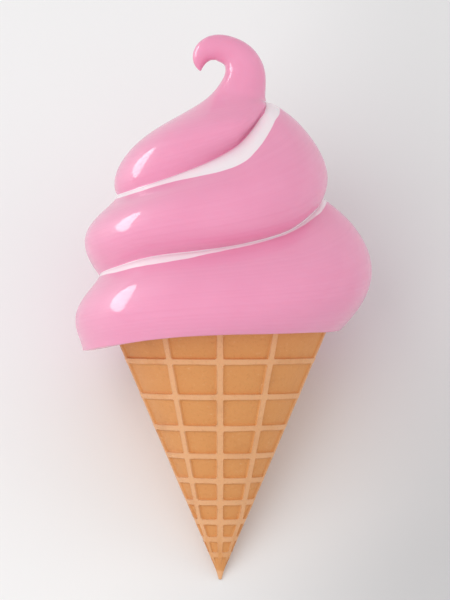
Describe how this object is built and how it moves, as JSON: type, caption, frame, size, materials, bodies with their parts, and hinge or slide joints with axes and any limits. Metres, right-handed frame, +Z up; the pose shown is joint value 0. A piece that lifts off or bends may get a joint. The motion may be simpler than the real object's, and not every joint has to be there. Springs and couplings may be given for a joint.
{
  "type": "soft serve",
  "caption": "Strawberry soft serve wound in a tapering swirl with a curled tip, filling a waffle cone, lying on its side with the shown side up.",
  "frame": {"origin": "centre of the bounding box's underside, on the surface that the cone lies on", "axes": "+Z up; the axis of the cone runs along +Y and rises by 25.3 degrees, from the point of the cone at -Y to the curl at +Y; the shown side faces up and towards -Y, and its left is -X"},
  "size_m": [0.1038, 0.172, 0.0945],
  "materials": {
    "strawberry_ice": "smooth moist strawberry ice, softly glossy, with a paler ribbon along the creases",
    "baked_waffle": "dry crisp baked waffle, matt, with ribs and rings paler than the cells"
  },
  "bodies": {
    "root": {"soft_serve": "strawberry_ice", "waffle_cone": "baked_waffle"}
  },
  "joints": []
}
